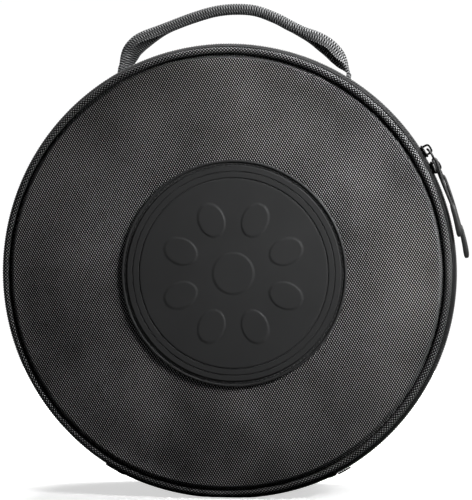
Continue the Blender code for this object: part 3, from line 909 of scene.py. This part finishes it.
def make_bail(word, angle):
    """A bent wire eye through the slider's bridge."""
    along, across, out = local_frame(angle)
    pivot = np.array((0.0, ZIP_Y, AXIS_HEIGHT)) + out * PIVOT_RADIUS
    half, length = 0.0030, BAIL_LENGTH
    outline = [(0.0, 0.0), (0.0, half * 0.8), (0.0012, half), (0.0040, half), (0.0070, half * 0.95),
               (length, half * 0.45),
               (length, 0.0), (length, -half * 0.45), (0.0070, -half * 0.95), (0.0040, -half),
               (0.0012, -half),
               (0.0, -half * 0.8), (0.0, 0.0)]
    arch = 0.0007
    line = resampled(outline, 0.0005)[:-1]
    path = [pivot + along * x + across * y + out * arch * math.sin(math.pi * x / length) for x, y in line]
    wire = swept(f"bail_{word}_wire", tube_stations(path, 0.00080, 10, True), "metal", closed=True)
    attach(wire, f"bail_{word}")
    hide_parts(f"bail_{word}")


CORD_DIAMETER = 0.0020


def make_pull(word, angle):
    """A loop of cord through the bail, closed in a moulded grip."""
    along, across, out = local_frame(angle)
    pivot = np.array((0.0, ZIP_Y, AXIS_HEIGHT)) + out * PIVOT_RADIUS
    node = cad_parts[f"pull_grip_{word}"]
    points = np.array([v.co for v in node.data.vertices])
    centre = points.mean(axis=0)
    spread = np.linalg.svd(points - centre)[2][0]
    if spread[2] > 0:
        spread = -spread
    reach = (points - centre) @ spread
    top = centre + spread * reach.min()
    end = centre + spread * reach.max()
    length = float(np.linalg.norm(end - top))
    outwards = np.cross(spread, (0, 1, 0))
    stations = []
    shape = ((0.0, 0.50, 0.55), (0.02, 0.66, 0.70), (0.06, 0.80, 0.80), (0.16, 0.88, 0.86),
             (0.40, 0.92, 0.92),
             (0.62, 0.98, 0.98), (0.80, 1.03, 1.0), (0.92, 0.98, 0.92), (0.98, 0.78, 0.70), (1.0, 0.50, 0.45))
    for at, wide, deep in shape:
        sag = 0.0005 * math.sin(math.pi * at)
        place = top + spread * length * at + outwards * sag
        stations.append([place + np.array((0, 1, 0)) * 0.0025 * wide
                         * math.copysign(abs(math.cos(t)) ** 0.6, math.cos(t))
                         + outwards * 0.0020 * deep * math.copysign(abs(math.sin(t)) ** 0.6, math.sin(t))
                         for t in np.arange(24) * math.tau / 24])
    grip = swept(f"grip_{word}", stations, "grip")
    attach(grip, f"pull_{word}")
    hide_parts(f"pull_grip_{word}")
    eye = pivot + along * (BAIL_LENGTH + 0.0002) + across * (0.0 if word == "right" else -0.0012)
    side = across * 0.0011
    mouth = top + spread * 0.0012
    if word == "left":
        over = pivot + along * 0.0125 - across * 0.0066
        first = [mouth - side, (mouth + over) / 2 - side * 0.6, over + out * 0.0008,
                 eye - across * 0.0016 + out * 0.0012]
        last = [eye - across * 0.0016 - out * 0.0010, over - out * 0.0010 + across * 0.0006,
                (mouth + over) / 2 + side * 0.8 - out * 0.0006, mouth + side]
        path = first + [eye - along * 0.0011] + last
    else:
        half_way = (mouth + eye) / 2 + out * 0.0012
        path = [mouth - side, half_way - side * 1.5, eye + along * 0.0022 - side * 0.7 + out * 0.0011,
                eye - along * 0.0012 + out * 0.0004, eye + along * 0.0022 + side * 0.7 - out * 0.0011,
                half_way + side * 1.5 - out * 0.0008, mouth + side]
    line = resampled(path, 0.0006)
    cord = swept(f"cord_{word}", tube_stations(line, CORD_DIAMETER / 2, 9), "cord")
    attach(cord, f"pull_{word}")
    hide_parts(f"pull_cord_{word}")


# ---------------------------------------------------------------- the stage

def make_stage():
    """A plain white floor, soft studio lights and the camera."""
    bpy.ops.mesh.primitive_plane_add(size=3.0, location=(0, -0.3, 0))
    floor = bpy.context.object
    floor.name = "floor"
    paint = bpy.data.materials.new("floor_white")
    paint.use_nodes = True
    shader = paint.node_tree.nodes["Principled BSDF"]
    seen = paint.node_tree.nodes.new("ShaderNodeLightPath").outputs["Is Camera Ray"]
    shade = paint.node_tree.nodes.new("ShaderNodeMix")
    shade.data_type = "RGBA"
    paint.node_tree.links.new(seen, shade.inputs["Factor"])
    shade.inputs["A"].default_value = (0.08, 0.08, 0.08, 1.0)
    shade.inputs["B"].default_value = (0.95, 0.95, 0.95, 1.0)
    paint.node_tree.links.new(shade.outputs["Result"], shader.inputs["Base Color"])
    glow = paint.node_tree.nodes.new("ShaderNodeMath")
    glow.operation = "MULTIPLY"
    glow.inputs[1].default_value = 0.62
    paint.node_tree.links.new(seen, glow.inputs[0])
    paint.node_tree.links.new(glow.outputs[0], shader.inputs["Emission Strength"])
    shader.inputs["Emission Color"].default_value = (1.0, 1.0, 1.0, 1.0)
    shader.inputs["Roughness"].default_value = 0.9
    shader.inputs["Specular IOR Level"].default_value = 0.1
    floor.data.materials.append(paint)
    scene = bpy.context.scene
    scene.view_settings.view_transform = "Standard"
    world = bpy.data.worlds.new("studio")
    world.use_nodes = True
    background = world.node_tree.nodes["Background"]
    background.inputs["Color"].default_value = (1.0, 1.0, 1.0, 1.0)
    seen = world.node_tree.nodes.new("ShaderNodeLightPath").outputs["Is Camera Ray"]
    strength = world.node_tree.nodes.new("ShaderNodeMath")
    strength.operation = "MULTIPLY_ADD"
    strength.inputs[1].default_value = 0.98
    strength.inputs[2].default_value = 0.04
    world.node_tree.links.new(seen, strength.inputs[0])
    world.node_tree.links.new(strength.outputs[0], background.inputs["Strength"])
    scene.world = world
    over = (0.0, 0.0, AXIS_HEIGHT)
    for name, place, aimed, size, energy, spread in (
            ("key", (0.52, -0.36, 0.56), (0.15, 0.0, 0.27), 0.30, 0.82, 55.0),
                                                     ("top", (0.1, 0.85, 2.3), over, 1.5, 85.0, 180.0),
            ("fill", (-1.6, -1.2, 0.6), over, 1.4, 0.6, 180.0),
                                                     ("rim", (0.9, 1.2, 0.8), over, 1.0, 5.0, 180.0)):
        light = bpy.data.lights.new(name, "AREA")
        light.size = size
        light.energy = energy
        light.spread = math.radians(spread)
        lamp = bpy.data.objects.new(name, light)
        lamp.location = place
        aim = Vector(aimed) - Vector(place)
        lamp.rotation_euler = aim.to_track_quat("-Z", "Y").to_euler()
        scene.collection.objects.link(lamp)
    azimuth, elevation, distance = math.radians(7.0), math.radians(1.0), 1.5
    target = Vector((0.0084, -SEAM_Y, AXIS_HEIGHT + 0.0166))
    back = Vector((math.sin(azimuth) * math.cos(elevation), -math.cos(azimuth) * math.cos(elevation),
                   math.sin(elevation)))
    camera_data = bpy.data.cameras.new("camera")
    camera_data.sensor_fit = "VERTICAL"
    camera_data.sensor_height = 36.0
    view_height = 0.3588
    camera_data.lens = camera_data.sensor_height * distance / view_height
    camera = bpy.data.objects.new("camera", camera_data)
    camera.location = target + back * distance
    camera.rotation_euler = (-back).to_track_quat("-Z", "Y").to_euler()
    scene.collection.objects.link(camera)
    scene.camera = camera


make_stage()
make_face("lid_face", -1, "lid", "lid_face_cloth")
make_face("back_face", 1, "case_body", "back_face_cloth")
make_piping("front_piping", -1, "lid", "lid_piping")
make_piping("rear_piping", 1, "case_body", "back_piping")
make_sides()
make_padding()
make_zip()
make_end_tabs()
make_patch()
make_badge()
make_handle()
for pull_word, pull_angle in SLIDER_ANGLES.items():
    make_slider(pull_word, pull_angle)
    make_bail(pull_word, pull_angle)
    make_pull(pull_word, pull_angle)
